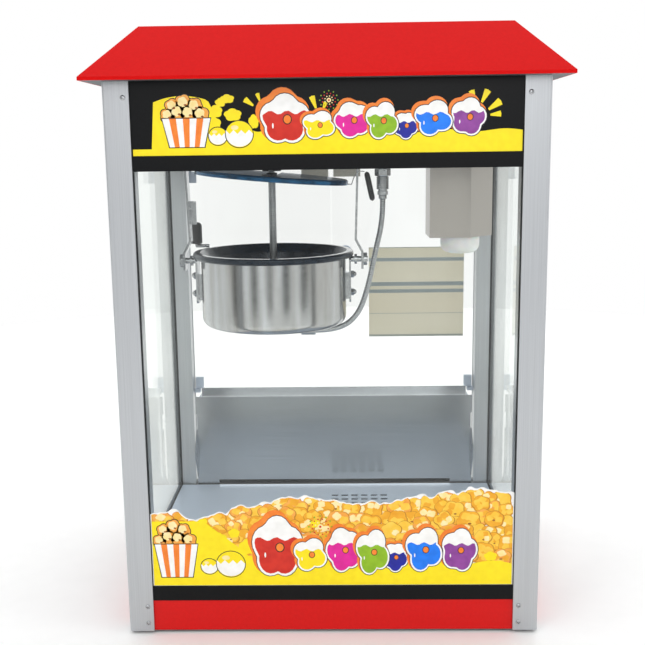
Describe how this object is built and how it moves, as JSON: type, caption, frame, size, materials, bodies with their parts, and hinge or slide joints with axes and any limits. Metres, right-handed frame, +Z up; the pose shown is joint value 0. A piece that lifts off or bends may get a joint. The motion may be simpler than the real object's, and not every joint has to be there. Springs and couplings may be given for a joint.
{
  "type": "popcorn machine",
  "caption": "Counter-top popcorn machine: glazed cabinet with red roof and base, tilting kettle with stirrer and lid, lamp, rear doors, flap and crumb drawer.",
  "frame": {"origin": "centre of the cabinet's footprint, on the surface that the feet stand on", "axes": "+X to the customer's right, +Y to the operator's side, +Z up"},
  "size_m": [0.56, 0.45, 0.7492],
  "materials": {
    "red_paint": "gloss",
    "stainless": "brushed",
    "aluminium_posts": "satin",
    "black_trim": "satin",
    "clear_glass": "clear",
    "clear_acrylic": "clear",
    "gasket_rubber": "matte",
    "printed_sign": "printed",
    "printed_film": "printed",
    "nonstick_black": "satin",
    "polished_steel": "polished",
    "black_plastic": "moulded",
    "frosted_glass": "frosted",
    "white_plastic": "moulded",
    "pale_plate": "satin",
    "motor_metal": "satin",
    "label_film": "printed"
  },
  "bodies": {
    "root": {"base_shell": "red_paint", "base_rails": "stainless", "deck_plate": "stainless", "rubber_feet": "gasket_rubber", "post_front_left": "aluminium_posts", "post_front_right": "aluminium_posts", "post_rear_left": "aluminium_posts", "post_rear_right": "aluminium_posts", "post_screws": "polished_steel", "glass_channels": "black_trim", "front_glass": "clear_glass", "side_glasses": "clear_glass", "glass_gaskets": "gasket_rubber", "front_film": "printed_film", "front_sign": "printed_sign", "side_signs": "printed_sign", "rear_control_panel": "stainless", "switch_housings": "black_plastic", "ceiling_plate": "stainless", "roof_rim_plate": "pale_plate", "roof_cover": "red_paint", "motor_bracket": "stainless", "gearbox": "motor_metal", "stirrer_motor": "motor_metal", "left_hanger_arm": "stainless", "right_hanger_arm": "stainless", "pivot_bushes": "black_plastic", "lamp_shade": "stainless", "lamp_socket": "white_plastic", "lamp_bulb": "frosted_glass", "conduit_connector": "polished_steel", "power_conduit": "polished_steel", "door_pivot_blocks": "white_plastic", "door_catches": "white_plastic", "cord_gland": "black_plastic"},
    "hub": {"drive_hub": "black_plastic"},
    "kettle": {"kettle_pot": "stainless", "kettle_bowl": "nonstick_black", "kettle_heater": "stainless", "kettle_brackets": "stainless", "dome_nuts": "polished_steel", "tilt_rod": "polished_steel", "tilt_grip": "black_plastic", "conduit_elbow": "polished_steel"},
    "stirrer": {"stirrer_shaft": "polished_steel", "stirrer_blades": "polished_steel"},
    "lid_guide": {"lid_collar": "black_plastic"},
    "lid": {"kettle_lid": "nonstick_black", "lid_handle": "black_plastic"},
    "left_door": {"left_door": "clear_acrylic", "left_door_fittings": "black_plastic"},
    "right_door": {"right_door": "clear_acrylic", "right_door_fittings": "black_plastic", "door_label": "label_film"},
    "flap": {"rear_flap": "stainless"},
    "drawer": {"crumb_drawer": "stainless", "drawer_pull": "stainless"},
    "motor_rocker": {"motor_rocker": "black_plastic"},
    "heat_rocker": {"heat_rocker": "black_plastic"},
    "light_rocker": {"light_rocker": "black_plastic"}
  },
  "joints": [
    {"name": "kettle_tilt", "type": "hinge", "parent": "root", "child": "kettle", "pos_m": [-0.079, 0, 0.4535], "axis": [-1, 0, 0], "range_deg": [0, 95], "deforming": ["power_conduit"]},
    {"name": "hub_spin", "type": "hinge", "parent": "root", "child": "hub", "pos_m": [-0.079, 0, 0.59], "axis": [0, 0, 1], "continuous": true},
    {"name": "stirrer_spin", "type": "hinge", "parent": "kettle", "child": "stirrer", "pos_m": [-0.079, 0, 0.42], "axis": [0, 0, 1], "continuous": true},
    {"name": "lid_slide", "type": "slide", "parent": "root", "child": "lid_guide", "axis": [0, 0, 1], "range_m": [-0.0977, 0]},
    {"name": "lid_level", "type": "hinge", "parent": "lid_guide", "child": "lid", "pos_m": [-0.079, 0, 0.5715], "axis": [0, 1, 0], "range_deg": [-5, 0]},
    {"name": "left_door_swing", "type": "hinge", "parent": "root", "child": "left_door", "pos_m": [-0.222, 0.198, 0.4], "axis": [0, 0, 1], "range_deg": [0, 100]},
    {"name": "right_door_swing", "type": "hinge", "parent": "root", "child": "right_door", "pos_m": [0.222, 0.198, 0.4], "axis": [0, 0, -1], "range_deg": [0, 100]},
    {"name": "flap_tilt", "type": "hinge", "parent": "root", "child": "flap", "pos_m": [0, 0.178, 0.0675], "axis": [-1, 0, 0], "range_deg": [0, 40]},
    {"name": "drawer_slide", "type": "slide", "parent": "root", "child": "drawer", "axis": [0, 1, 0], "range_m": [0, 0.15]},
    {"name": "motor_switch", "type": "hinge", "parent": "root", "child": "motor_rocker", "pos_m": [-0.062, 0.1973, 0.64], "axis": [-1, 0, 0], "range_deg": [0, 12]},
    {"name": "heat_switch", "type": "hinge", "parent": "root", "child": "heat_rocker", "pos_m": [0, 0.1973, 0.64], "axis": [-1, 0, 0], "range_deg": [0, 12]},
    {"name": "light_switch", "type": "hinge", "parent": "root", "child": "light_rocker", "pos_m": [0.062, 0.1973, 0.64], "axis": [-1, 0, 0], "range_deg": [0, 12]}
  ],
  "couplings": [
    {"joint": "lid_level", "follows": "lid_slide", "rad_per_m": 0.893},
    {"joint": "stirrer_spin", "follows": "hub_spin", "ratio": 1}
  ]
}
